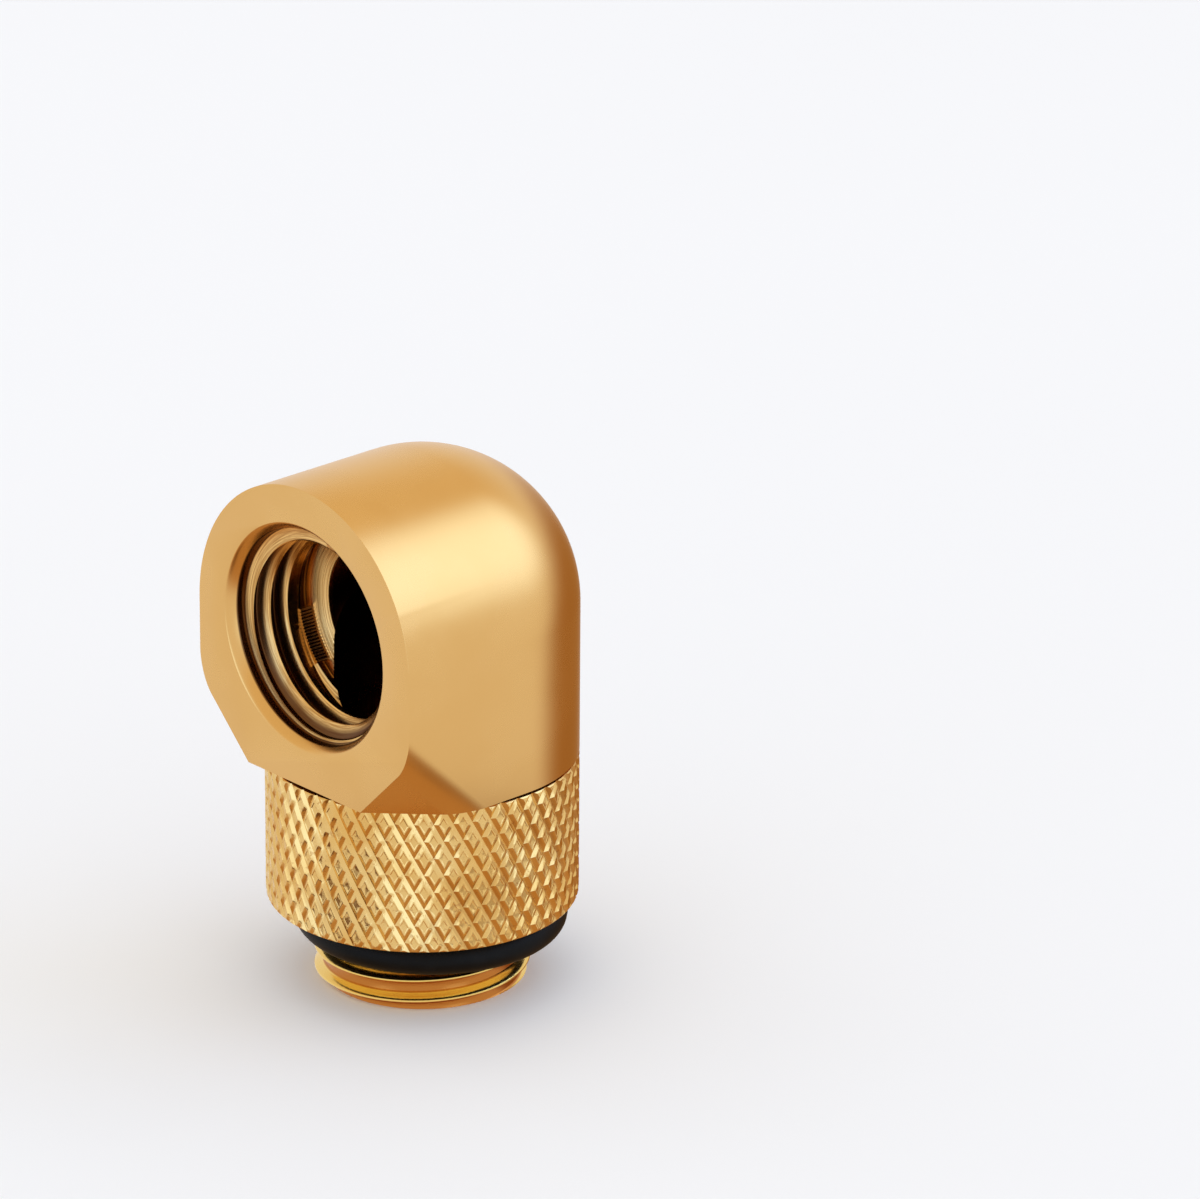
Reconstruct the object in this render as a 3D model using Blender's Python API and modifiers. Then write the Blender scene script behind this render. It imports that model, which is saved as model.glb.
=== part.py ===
"""Rotary 90 degree elbow adapter for G1/4 coolant ports.

A knurled base screws into a port by its male thread. The elbow body turns on the base without end:
its spigot runs inside the base, sealed by two O-rings and held by a split retaining ring.

Frame: +Z runs up the swivel axis from the end of the male thread, and the female port faces -Y.
All sizes are in metres.
"""

import math

import bmesh
import bpy
from mathutils import Matrix, Vector

MM = 0.001

# G1/4 parallel pipe thread
THREAD_MAJOR_R = 6.5785 * MM
THREAD_MINOR_R = 5.7225 * MM

# Swivel, from the bore outwards
SPIGOT_BORE_R = 5.3 * MM
SPIGOT_WALL = 0.8 * MM  # left under the seal grooves
SPIGOT_SEAL_SECTION = 1.0 * MM
RUNNING_CLEARANCE = 0.1 * MM  # spigot to socket, on the radius
FIT_GAP = 0.05 * MM  # round each small piece that sits in a groove
SEAL_GROOVE_DEPTH = SPIGOT_SEAL_SECTION + 2 * FIT_GAP  # from the socket wall inwards
SOCKET_R = SPIGOT_BORE_R + SPIGOT_WALL + SEAL_GROOVE_DEPTH
SPIGOT_R = SOCKET_R - RUNNING_CLEARANCE
RING_DEPTH = 0.6 * MM  # of the retaining ring inside the spigot
RING_REACH = 0.5 * MM  # of the retaining ring into the base
RING_SLOT = 1.4 * MM
WASHER_THICKNESS = 0.6 * MM
WASHER_WIDTH = 1.1 * MM
COLLAR_WALL = 2.3 * MM

# Swivel, from the body's underside down the spigot
RING_LAND = 1.6 * MM
RING_THICKNESS = 0.8 * MM
SEAL_LANDS = (0.9 * MM, 1.2 * MM)  # above the upper and above the lower seal
END_LAND = 1.4 * MM
SPIGOT_CHAMFER = 0.3 * MM
END_CLEARANCE = 0.3 * MM  # spigot end to socket floor
SOCKET_FLOOR = 1.3 * MM
JOINT_GAP = 0.2 * MM  # open line between collar and body

# Elbow body
BODY_R = SOCKET_R + COLLAR_WALL  # half its width, and the radius of its round top, back and corner
PORT_REACH = 9.4 * MM  # swivel axis to port face
BODY_DROP = 9.5 * MM  # port axis to underside
CORNER_CUT = 4.4 * MM  # length cut off each edge at the two lower front corners

# Female port, depths measured from the port face
LIP_R = 7.2 * MM
LIP_DEPTH = 0.6 * MM
MOUTH_R = 6.7 * MM
MOUTH_DEPTH = 1.2 * MM
SHOULDER_DEPTH = 1.4 * MM  # at the thread's crests
PORT_DEPTH = 5.3 * MM
RELIEF_LENGTH = 0.4 * MM  # undercut at the end wall
RELIEF_R = 6.0 * MM
PORT_BORE_R = 4.4 * MM
PORT_BORE_PAST_AXIS = 3.4 * MM

# Knurled base
COLLAR_R = BODY_R
COLLAR_TOP_CHAMFER = 0.2 * MM
COLLAR_FOOT_CHAMFER = 0.4 * MM
STUB_LENGTH = 5.2 * MM
STUB_CHAMFER = 0.2 * MM
STUB_BORE_R = 4.3 * MM
NECK_R = 5.6 * MM  # plain neck that the port seal lies round
NECK_LENGTH = 2.1 * MM
PORT_SEAL_SECTION = 2.1 * MM
PORT_SEAL_SLACK = 0.75 * MM  # between neck and seal

# Levels along the swivel axis, from the end of the thread
SPIGOT_LENGTH = (
    RING_LAND + RING_THICKNESS + sum(SEAL_LANDS) + 2 * SPIGOT_SEAL_SECTION + END_LAND
)
COLLAR_FOOT_Z = STUB_LENGTH
SOCKET_FLOOR_Z = COLLAR_FOOT_Z + SOCKET_FLOOR
SPIGOT_END_Z = SOCKET_FLOOR_Z + END_CLEARANCE
BODY_FOOT_Z = SPIGOT_END_Z + SPIGOT_LENGTH
COLLAR_TOP_Z = BODY_FOOT_Z - JOINT_GAP
PORT_AXIS_Z = BODY_FOOT_Z + BODY_DROP
RING_TOP_Z = BODY_FOOT_Z - RING_LAND
RING_FOOT_Z = RING_TOP_Z - RING_THICKNESS
UPPER_SEAL_TOP_Z = RING_FOOT_Z - SEAL_LANDS[0]
LOWER_SEAL_TOP_Z = UPPER_SEAL_TOP_Z - SPIGOT_SEAL_SECTION - SEAL_LANDS[1]
RING_INNER_R = SPIGOT_R - RING_DEPTH
RING_OUTER_R = SOCKET_R + RING_REACH

# Mesh fineness
TURN_STEPS = 48
ROUND_STEPS = 12
SEAL_SIDES = 10
MERGE = 1e-6
JOIN_OVERLAP = 1.0 * MM
CUT_MARGIN = 2.0 * MM

GOLD = (0.72, 0.43, 0.15, 1.0)
BLACK_RUBBER = (0.02, 0.02, 0.02, 1.0)
SPRING_STEEL = (0.55, 0.55, 0.56, 1.0)
NATURAL_ACETAL = (0.85, 0.84, 0.8, 1.0)


def clear_scene():
    for obj in list(bpy.data.objects):
        bpy.data.objects.remove(obj, do_unlink=True)


def new_collection(name):
    collection = bpy.data.collections.new(name)
    bpy.context.scene.collection.children.link(collection)
    return collection


def new_material(name, color, metallic, roughness):
    material = bpy.data.materials.new(name)
    material.use_nodes = True
    shader = material.node_tree.nodes["Principled BSDF"]
    shader.inputs["Base Color"].default_value = color
    shader.inputs["Metallic"].default_value = metallic
    shader.inputs["Roughness"].default_value = roughness
    return material


def new_object(name, bm, collection):
    mesh = bpy.data.meshes.new(name)
    bm.to_mesh(mesh)
    bm.free()
    obj = bpy.data.objects.new(name, mesh)
    collection.objects.link(obj)
    return obj


def add_turned(name, profile, collection):
    """A profile of (radius, height) points, turned once about Z. It runs down its outer side."""
    bm = bmesh.new()
    points = [bm.verts.new((radius, 0, height)) for radius, height in profile]
    for start, end in zip(points, points[1:]):
        bm.edges.new((start, end))
    if min(radius for radius, _ in profile) > 0:
        bm.edges.new((points[-1], points[0]))
    obj = new_object(name, bm, collection)
    screw = obj.modifiers.new("turn", "SCREW")
    screw.axis = "Z"
    screw.steps = TURN_STEPS
    screw.render_steps = TURN_STEPS
    screw.use_merge_vertices = True
    screw.merge_threshold = MERGE
    return obj


def add_boolean(obj, other, operation):
    modifier = obj.modifiers.new(f"{operation.lower()} {other.name}", "BOOLEAN")
    modifier.operation = operation
    modifier.object = other
    modifier.solver = "EXACT"


def hide_helper(obj):
    obj.hide_render = True
    obj.display_type = "WIRE"


def finish(obj, material):
    obj.data.materials.clear()
    obj.data.materials.append(material)
    obj.data.shade_smooth()
    obj.data.set_sharp_from_angle(angle=math.radians(30))


def add_elbow_blank(collection):
    """A block as wide as the body, its top, back and upper back edges rounded by half its width."""
    bm = bmesh.new()
    bmesh.ops.create_cube(bm, size=1.0)
    depth = PORT_REACH + BODY_R
    height = BODY_DROP + BODY_R
    bmesh.ops.scale(bm, vec=(2 * BODY_R, depth, height), verts=bm.verts)
    middle = Vector((0, BODY_R - depth / 2, BODY_R - height / 2))
    bmesh.ops.translate(bm, vec=middle, verts=bm.verts)

    def is_rounded(edge):
        a, b = (vert.co for vert in edge.verts)
        on_top = a.z > 0 and b.z > 0
        at_back = a.y > 0 and b.y > 0
        along_port = abs(a.y - b.y) > MERGE
        upright = abs(a.z - b.z) > MERGE
        return (on_top and along_port) or (at_back and upright) or (on_top and at_back)

    bmesh.ops.bevel(
        bm,
        geom=[edge for edge in bm.edges if is_rounded(edge)],
        offset=BODY_R,
        offset_type="OFFSET",
        segments=ROUND_STEPS,
        profile=0.5,
        affect="EDGES",
        clamp_overlap=False,
    )
    bmesh.ops.remove_doubles(bm, verts=bm.verts, dist=10 * MERGE)
    bmesh.ops.recalc_face_normals(bm, faces=bm.faces)
    obj = new_object("elbow_body", bm, collection)
    obj.location = (0, 0, PORT_AXIS_Z)
    return obj


def groove(top, foot, mouth_r, floor_r):
    """Four profile points, running down, of a square groove for a piece between top and foot."""
    top += FIT_GAP
    foot -= FIT_GAP
    return [(mouth_r, top), (floor_r, top), (floor_r, foot), (mouth_r, foot)]


def add_spigot(collection):
    """The body's spigot, with its grooves for the retaining ring and the two seals."""
    profile = [(0, BODY_FOOT_Z + JOIN_OVERLAP), (SPIGOT_R, BODY_FOOT_Z + JOIN_OVERLAP)]
    profile += groove(RING_TOP_Z, RING_FOOT_Z, SPIGOT_R, RING_INNER_R - FIT_GAP)
    for top in (UPPER_SEAL_TOP_Z, LOWER_SEAL_TOP_Z):
        foot = top - SPIGOT_SEAL_SECTION
        profile += groove(top, foot, SPIGOT_R, SOCKET_R - SEAL_GROOVE_DEPTH)
    profile += [
        (SPIGOT_R, SPIGOT_END_Z + SPIGOT_CHAMFER),
        (SPIGOT_R - SPIGOT_CHAMFER, SPIGOT_END_Z),
        (0, SPIGOT_END_Z),
    ]
    return add_turned("spigot", profile, collection)


def add_corner_cutter(side, collection):
    """A half space, as a large cube, past the plane through the three ends of the cut edges."""
    bm = bmesh.new()
    size = 4 * CORNER_CUT
    bmesh.ops.create_cube(bm, size=size)
    bmesh.ops.translate(bm, vec=(0, 0, size / 2), verts=bm.verts)
    outward = Vector((side, -1, -1)).normalized()
    corner = Vector((side * BODY_R, -PORT_REACH, PORT_AXIS_Z - BODY_DROP))
    depth = CORNER_CUT / math.sqrt(3)
    turn = outward.to_track_quat("Z", "Y").to_matrix().to_4x4()
    bmesh.ops.transform(
        bm, matrix=Matrix.Translation(corner - outward * depth) @ turn, verts=bm.verts
    )
    return new_object(f"corner_cutter_{side:+d}", bm, collection)


def add_port_cutter(collection):
    """The female port and the bore behind it, turned about the port axis with +Z out of the port."""
    tip = PORT_BORE_R * math.tan(math.radians(31))
    bore_end = -PORT_REACH - PORT_BORE_PAST_AXIS
    relief_start = PORT_DEPTH - RELIEF_LENGTH
    profile = [
        (0, CUT_MARGIN),
        (LIP_R, CUT_MARGIN),
        (LIP_R, 0),
    ]
    for step in range(1, 4):
        share = step / 3
        profile.append((LIP_R - (LIP_R - MOUTH_R) * share, -LIP_DEPTH * share**1.4))
    profile += [
        (MOUTH_R, -MOUTH_DEPTH),
        (THREAD_MINOR_R, -SHOULDER_DEPTH),
        (THREAD_MINOR_R, -relief_start),
        (RELIEF_R, -relief_start - (RELIEF_R - THREAD_MINOR_R)),
        (RELIEF_R, -PORT_DEPTH),
        (PORT_BORE_R, -PORT_DEPTH),
        (PORT_BORE_R, bore_end),
        (0, bore_end - tip),
    ]
    cutter = add_turned("port_cutter", profile, collection)
    cutter.location = (0, -PORT_REACH, PORT_AXIS_Z)
    cutter.rotation_euler = (math.pi / 2, 0, 0)
    return cutter


def add_spigot_bore_cutter(collection):
    """The bore up through the spigot to the port bore, with a drill's cone at its end."""
    tip = SPIGOT_BORE_R * math.tan(math.radians(31))
    profile = [
        (0, PORT_AXIS_Z + tip / 2),
        (SPIGOT_BORE_R, PORT_AXIS_Z - tip / 2),
        (SPIGOT_BORE_R, SPIGOT_END_Z - CUT_MARGIN),
        (0, SPIGOT_END_Z - CUT_MARGIN),
    ]
    return add_turned("spigot_bore_cutter", profile, collection)


def add_elbow(parts, cutters, material):
    body = add_elbow_blank(parts)
    joined = [add_spigot(cutters)]
    cut = [add_corner_cutter(side, cutters) for side in (1, -1)]
    cut += [add_port_cutter(cutters), add_spigot_bore_cutter(cutters)]
    for other in joined:
        add_boolean(body, other, "UNION")
    for other in cut:
        add_boolean(body, other, "DIFFERENCE")
    for other in joined + cut:
        hide_helper(other)
    finish(body, material)
    return body


def add_base(parts, material):
    """Collar, neck and male thread in one turned piece, bored through and socketed for the spigot."""
    recess_r = SOCKET_R + WASHER_WIDTH + 2 * FIT_GAP
    recess_floor = BODY_FOOT_Z - WASHER_THICKNESS - 2 * FIT_GAP
    thread_top = COLLAR_FOOT_Z - NECK_LENGTH
    profile = [
        (COLLAR_R - COLLAR_TOP_CHAMFER, COLLAR_TOP_Z),
        (COLLAR_R, COLLAR_TOP_Z - COLLAR_TOP_CHAMFER),
        (COLLAR_R, COLLAR_FOOT_Z + COLLAR_FOOT_CHAMFER),
        (COLLAR_R - COLLAR_FOOT_CHAMFER, COLLAR_FOOT_Z),
        (NECK_R, COLLAR_FOOT_Z),
        (NECK_R, thread_top + (THREAD_MAJOR_R - NECK_R) / 2),
        (THREAD_MAJOR_R, thread_top - (THREAD_MAJOR_R - NECK_R) / 2),
        (THREAD_MAJOR_R, STUB_CHAMFER),
        (THREAD_MAJOR_R - STUB_CHAMFER, 0),
        (STUB_BORE_R, 0),
        (STUB_BORE_R, SOCKET_FLOOR_Z),
        (SOCKET_R, SOCKET_FLOOR_Z),
    ]
    profile += reversed(groove(RING_TOP_Z, RING_FOOT_Z, SOCKET_R, RING_OUTER_R + FIT_GAP))
    profile += [
        (SOCKET_R, recess_floor),
        (recess_r, recess_floor),
        (recess_r, COLLAR_TOP_Z),
    ]
    base = add_turned("threaded_base", profile, parts)
    finish(base, material)
    return base


def add_seal(name, outer_r, section, top, parts, material):
    bpy.ops.mesh.primitive_torus_add(
        major_radius=outer_r - section / 2,
        minor_radius=section / 2,
        major_segments=TURN_STEPS,
        minor_segments=SEAL_SIDES,
        location=(0, 0, top - section / 2),
    )
    seal = bpy.context.object
    seal.name = name
    for collection in list(seal.users_collection):
        collection.objects.unlink(seal)
    parts.objects.link(seal)
    finish(seal, material)
    return seal


def add_retaining_ring(parts, cutters, material):
    profile = [
        (RING_OUTER_R, RING_TOP_Z),
        (RING_OUTER_R, RING_FOOT_Z),
        (RING_INNER_R, RING_FOOT_Z),
        (RING_INNER_R, RING_TOP_Z),
    ]
    ring = add_turned("retaining_ring", profile, parts)
    bm = bmesh.new()
    bmesh.ops.create_cube(bm, size=1.0)
    size = (RING_SLOT, 2 * RING_OUTER_R, 3 * RING_THICKNESS)
    bmesh.ops.scale(bm, vec=size, verts=bm.verts)
    bmesh.ops.translate(bm, vec=(0, RING_OUTER_R, (RING_TOP_Z + RING_FOOT_Z) / 2), verts=bm.verts)
    slot = new_object("ring_slot_cutter", bm, cutters)
    add_boolean(ring, slot, "DIFFERENCE")
    hide_helper(slot)
    finish(ring, material)
    return ring


def add_thrust_washer(parts, material):
    inner_r = SOCKET_R + FIT_GAP
    outer_r = inner_r + WASHER_WIDTH
    top = BODY_FOOT_Z - FIT_GAP
    foot = top - WASHER_THICKNESS
    profile = [(outer_r, top), (outer_r, foot), (inner_r, foot), (inner_r, top)]
    washer = add_turned("thrust_washer", profile, parts)
    finish(washer, material)
    return washer


def main():
    clear_scene()
    parts = new_collection("rotary_elbow_adapter")
    cutters = new_collection("cutters")
    gold = new_material("gold plated brass", GOLD, 1.0, 0.3)
    rubber = new_material("black rubber", BLACK_RUBBER, 0.0, 0.6)
    steel = new_material("spring steel", SPRING_STEEL, 1.0, 0.35)
    acetal = new_material("acetal", NATURAL_ACETAL, 0.0, 0.5)

    add_elbow(parts, cutters, gold)
    add_base(parts, gold)
    port_seal_r = NECK_R + PORT_SEAL_SLACK + PORT_SEAL_SECTION
    add_seal("port_seal", port_seal_r, PORT_SEAL_SECTION, COLLAR_FOOT_Z - FIT_GAP, parts, rubber)
    spigot_seal_r = SOCKET_R - FIT_GAP
    for name, top in (
        ("upper_spigot_seal", UPPER_SEAL_TOP_Z),
        ("lower_spigot_seal", LOWER_SEAL_TOP_Z),
    ):
        add_seal(name, spigot_seal_r, SPIGOT_SEAL_SECTION, top, parts, rubber)
    add_retaining_ring(parts, cutters, steel)
    add_thrust_washer(parts, acetal)


main()
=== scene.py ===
"""Gold rotary elbow adapter for coolant ports: the finished pieces, their finishes and the studio.

A knurled base with a short male thread carries an elbow body that turns on it. All sizes are in
metres. +Z runs up the swivel axis from the end of the male thread, and the female port faces -Y.
"""

import math

import bmesh
import bpy
from mathutils import Matrix, Vector


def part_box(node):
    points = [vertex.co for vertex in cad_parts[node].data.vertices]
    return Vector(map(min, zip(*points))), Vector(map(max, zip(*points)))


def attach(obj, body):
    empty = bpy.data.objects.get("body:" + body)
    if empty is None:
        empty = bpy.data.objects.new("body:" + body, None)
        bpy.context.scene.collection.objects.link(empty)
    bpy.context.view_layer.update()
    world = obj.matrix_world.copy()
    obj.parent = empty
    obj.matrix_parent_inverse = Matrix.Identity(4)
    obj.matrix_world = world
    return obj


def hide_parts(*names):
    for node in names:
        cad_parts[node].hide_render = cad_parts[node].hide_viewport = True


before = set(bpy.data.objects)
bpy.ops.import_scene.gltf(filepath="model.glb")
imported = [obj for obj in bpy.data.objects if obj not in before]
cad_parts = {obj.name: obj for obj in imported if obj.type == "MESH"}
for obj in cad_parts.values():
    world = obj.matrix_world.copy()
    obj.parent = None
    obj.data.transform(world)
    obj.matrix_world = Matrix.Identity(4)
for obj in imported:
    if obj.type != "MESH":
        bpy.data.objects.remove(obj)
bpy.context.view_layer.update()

MM = 0.001

# Levels and sizes shared with the solids
elbow_low, elbow_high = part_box("elbow_body")
_, base_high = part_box("threaded_base")
_, seal_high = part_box("port_seal")
BODY_R = elbow_high.x
PORT_REACH = -elbow_low.y
PORT_AXIS_Z = elbow_high.z - BODY_R
BODY_FOOT_Z = PORT_AXIS_Z - 9.5 * MM
SPIGOT_END_Z = elbow_low.z
COLLAR_TOP_Z = base_high.z
COLLAR_FOOT_Z = 5.2 * MM
COLLAR_R = base_high.x
THREAD_MAJOR_R = 6.5785 * MM
THREAD_MINOR_R = 5.7225 * MM
THREAD_PITCH = 1.337 * MM
SOCKET_R = 7.2 * MM
SPIGOT_R = 7.1 * MM
RING_TOP_Z = 13.1 * MM
RING_FOOT_Z = 12.3 * MM
SPIGOT_SEAL_TOPS = {"upper_spigot_seal": 11.4 * MM, "lower_spigot_seal": 9.2 * MM}
FIT_GAP = 0.05 * MM

# Elbow body
CORNER_CUT = 4.4 * MM
LIP_R = 7.2 * MM
LIP_DEPTH = 0.6 * MM
MOUTH_R = 6.7 * MM
MOUTH_END = 1.2 * MM
PORT_DEPTH = 5.3 * MM
UNDERCUT_R = 6.0 * MM
UNDERCUT_LENGTH = 0.75 * MM
PORT_BORE_R = 4.4 * MM
SPIGOT_BORE_R = 5.3 * MM
BORE_DOME_DROP = 2.9 * MM  # port axis to the middle of the bore's round end
BORE_PAST_AXIS = 3.4 * MM  # swivel axis to the end of the port bore's full width
DRILL_POINT = math.radians(31)
END_WALL_LEAN = math.radians(20)
END_WALL_DROP = 0.66 * MM
END_WALL_MARKS = 11

# The scored pad on the wall behind the port's thread; its angles are seen from the front
PAD_FRONT = 4.45 * MM
PAD_RIDGES = 17
PAD_START, PAD_END = 189.5, 225.0
PAD_CREST_R = 5.46 * MM
PAD_VALLEY_R = 5.58 * MM

# Thread grooves: half the width at the mouth, the depth, the start along the axis and the turn
THREAD_FLANK = math.radians(27.5)
MALE_GROOVE = (0.59 * MM, 0.62 * MM)
MALE_TURNS = 3.6
MALE_START = -0.85 * MM
MALE_TURN = math.radians(54)
FEMALE_GROOVE = (0.6 * MM, 0.8 * MM)
FEMALE_TURNS = 2.75
FEMALE_START = -4.45 * MM
FEMALE_TURN = math.radians(173)
FEMALE_RUN_OUT = -0.95 * MM
RUN_OUT_TURNS = 0.4

# Knurl: two crossing sets of helical grooves that leave lozenges with raised rims between them
KNURL_LINES = 50
KNURL_CELL_HEIGHT = 2.2 * MM
KNURL_TURN = math.radians(-44.48)
KNURL_LIFT = 11.38 * MM
MAIN_DEPTH = 0.14 * MM
MAIN_HALF_WIDTH = 0.25
CROSS_DEPTHS = (0.13 * MM, 0.07 * MM)
CROSS_HALF_WIDTH = 0.21
RIM_WIDTH = 0.05
RIM_HEIGHT = 0.022 * MM

TURN_STEPS = 192
MERGE = 1e-6


# --- Node graphs -------------------------------------------------------------------------------


class Signal:
    """An output of a node. Arithmetic on signals adds the Math nodes that work it out."""

    def __init__(self, graph, socket):
        self.graph = graph
        self.socket = socket

    def math(self, operation, *values, first=None):
        inputs = dict(enumerate([self if first is None else first, *values]))
        return self.graph.node("ShaderNodeMath", {"operation": operation}, inputs)[0]

    def __add__(self, other):
        return self.math("ADD", other)

    def __sub__(self, other):
        return self.math("SUBTRACT", other)

    def __rsub__(self, other):
        return self.math("SUBTRACT", self, first=other)

    def __mul__(self, other):
        return self.math("MULTIPLY", other)

    def __truediv__(self, other):
        return self.math("DIVIDE", other)

    __radd__ = __add__
    __rmul__ = __mul__

    def step(self, low, high):
        """Rises smoothly from 0 at low to 1 at high, or is 0 above low and 1 below high."""
        settings = {"interpolation_type": "SMOOTHSTEP"}
        if low < high:
            values = {"Value": self, "From Min": low, "From Max": high}
        else:
            values = {"Value": self, "From Min": high, "From Max": low}
            values.update({"To Min": 1.0, "To Max": 0.0})
        return self.graph.node("ShaderNodeMapRange", settings, values)["Result"]


class Outputs:
    """The outputs of one node, by name or by number."""

    def __init__(self, graph, node):
        self.graph = graph
        self.node = node

    def __getitem__(self, key):
        return Signal(self.graph, find_socket(self.node.outputs, key))


def find_socket(sockets, key):
    if isinstance(key, int):
        return sockets[key]
    return next((s for s in sockets if s.identifier == key), None) or sockets[key]


class Graph:
    """A node tree, of a material or of a shape."""

    def __init__(self, tree):
        self.tree = tree

    def node(self, kind, settings=None, values=None):
        node = self.tree.nodes.new(kind)
        for name, setting in (settings or {}).items():
            setattr(node, name, setting)
        for key, value in (values or {}).items():
            socket = find_socket(node.inputs, key)
            if isinstance(value, Signal):
                self.tree.links.new(value.socket, socket)
            else:
                socket.default_value = value
        return Outputs(self, node)

    def axes(self, vector):
        parts = self.node("ShaderNodeSeparateXYZ", values={"Vector": vector})
        return parts["X"], parts["Y"], parts["Z"]

    def vector(self, x, y, z):
        return self.node("ShaderNodeCombineXYZ", values={"X": x, "Y": y, "Z": z})["Vector"]

    def noise(self, vector, scale, detail=2.0, roughness=0.5):
        values = {"Vector": vector, "Scale": scale, "Detail": detail, "Roughness": roughness}
        return self.node("ShaderNodeTexNoise", values=values)[0]

    def mix(self, factor, a, b):
        values = {"Factor_Float": factor, "A_Color": a, "B_Color": b}
        return self.node("ShaderNodeMix", {"data_type": "RGBA"}, values)["Result_Color"]


# --- Shapes ------------------------------------------------------------------------------------


def new_object(name, mesh):
    obj = bpy.data.objects.new(name, mesh)
    bpy.context.scene.collection.objects.link(obj)
    return obj


def new_solid(name, points, faces):
    """A closed shape from points and faces, its doubles merged and its faces turned outwards."""
    mesh = bpy.data.meshes.new(name)
    mesh.from_pydata(points, [], faces)
    bm = bmesh.new()
    bm.from_mesh(mesh)
    bmesh.ops.remove_doubles(bm, verts=bm.verts, dist=MERGE)
    bmesh.ops.recalc_face_normals(bm, faces=bm.faces)
    bm.to_mesh(mesh)
    bm.free()
    return new_object(name, mesh)


def turned(name, profile, steps=TURN_STEPS):
    """A profile of (radius, height) points turned about Z. It closes on itself, or on the axis."""
    points = []
    for step in range(steps):
        angle = 2 * math.pi * step / steps
        points += [(r * math.cos(angle), r * math.sin(angle), z) for r, z in profile]
    count = len(profile)
    on_axis = min(r for r, _ in profile) == 0
    faces = []
    for step in range(steps):
        here = step * count
        there = (step + 1) % steps * count
        for row in range(count - 1 if on_axis else count):
            after = (row + 1) % count
            quad = [here + row, here + after, there + after, there + row]
            if profile[row][0] == 0:
                quad.remove(there + row)
            if profile[after][0] == 0:
                quad.remove(there + after)
            faces.append(quad)
    return new_solid(name, points, faces)


def arc(middle, radii, start, end, steps):
    """Points (radius, height) on an ellipse's arc, from angle start to end in degrees."""
    points = []
    for step in range(steps + 1):
        angle = math.radians(start + (end - start) * step / steps)
        across, up = radii[0] * math.cos(angle), radii[1] * math.sin(angle)
        points.append((middle[0] + across, middle[1] + up))
    return points


def settle(obj):
    """Keeps what the modifiers make as the object's own plain mesh."""
    graph = bpy.context.evaluated_depsgraph_get()
    mesh = bpy.data.meshes.new_from_object(obj.evaluated_get(graph))
    obj.modifiers.clear()
    obj.data = mesh
    return obj


def place(obj, matrix):
    obj.data.transform(matrix)
    return obj


def combine(blank, tool, operation="DIFFERENCE"):
    """Cuts tool from blank, or joins it on, and clears the tool away."""
    modifier = blank.modifiers.new("shape", "BOOLEAN")
    modifier.operation = operation
    modifier.object = tool
    modifier.solver = "MANIFOLD"
    settle(blank)
    bpy.data.objects.remove(tool)
    return blank


def new_shape_graph(name, sizes):
    """A geometry tree with a named input for each size, given as {name: (socket type, value)}."""
    tree = bpy.data.node_groups.new(name, "GeometryNodeTree")
    tree.interface.new_socket(name="Pattern", in_out="INPUT", socket_type="NodeSocketGeometry")
    for label, (kind, _) in sizes.items():
        tree.interface.new_socket(name=label, in_out="INPUT", socket_type=kind)
    tree.interface.new_socket(name="Shape", in_out="OUTPUT", socket_type="NodeSocketGeometry")
    graph = Graph(tree)
    return graph, graph.node("NodeGroupInput")


def end_shape_graph(graph, shape, material):
    shape = graph.node("GeometryNodeRealizeInstances", values={"Geometry": shape})["Geometry"]
    values = {"Geometry": shape, "Material": material}
    shape = graph.node("GeometryNodeSetMaterial", values=values)["Geometry"]
    graph.node("NodeGroupOutput", values={"Shape": shape})


def shape_by(obj, graph, sizes):
    """Runs a geometry tree on the object's pattern, with these sizes, and keeps the plain mesh."""
    modifier = obj.modifiers.new("shape", "NODES")
    modifier.node_group = graph.tree
    for item in graph.tree.interface.items_tree:
        if item.in_out == "INPUT" and item.name in sizes:
            modifier[item.identifier] = sizes[item.name][1]
    return settle(obj)


# --- Knurl -------------------------------------------------------------------------------------


def lozenge_pattern():
    """One crossing of the two grooves, flat: x and y count grooves of either set, z is height."""
    reach = 5
    marks_across = range(-reach, reach + 1)
    row = len(marks_across)
    rim_profile = [None, None, 0.7 * RIM_HEIGHT, RIM_HEIGHT, 0.0, 0.0]

    def marks(width):
        outward = [0, width / 2, width, width + RIM_WIDTH, width + 2 * RIM_WIDTH, 0.5]
        return [math.copysign(outward[abs(k)], k) for k in marks_across]

    across_main, across_cross = marks(MAIN_HALF_WIDTH), marks(CROSS_HALF_WIDTH)

    def height(ka, kb):
        main, cross = across_main[ka + reach], across_cross[kb + reach]
        along = (main % 1.0 - MAIN_HALF_WIDTH) / (1 - 2 * MAIN_HALF_WIDTH)
        along = min(max(along, 0.0), 1.0)
        cross_depth = CROSS_DEPTHS[0] + (CROSS_DEPTHS[1] - CROSS_DEPTHS[0]) * along
        levels = [rim_profile[max(abs(ka), 2)], rim_profile[max(abs(kb), 2)]]
        top = max(levels)
        return min(
            top,
            -MAIN_DEPTH * (1 - abs(main) / MAIN_HALF_WIDTH) if abs(ka) < 2 else top,
            -cross_depth * (1 - abs(cross) / CROSS_HALF_WIDTH) if abs(kb) < 2 else top,
        )

    points = [
        (across_main[a + reach], across_cross[b + reach], height(a, b))
        for a in marks_across
        for b in marks_across
    ]
    faces = []
    for a in range(2 * reach):
        for b in range(2 * reach):
            here = a * row + b
            corners = [here, here + row, here + row + 1, here + 1]
            if (a < reach) != (b < reach):
                corners = corners[1:] + corners[:1]
            faces += [(corners[0], corners[1], corners[2]), (corners[0], corners[2], corners[3])]
    mesh = bpy.data.meshes.new("lozenge")
    mesh.from_pydata(points, [], faces)
    return new_object("knurl", mesh)


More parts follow.
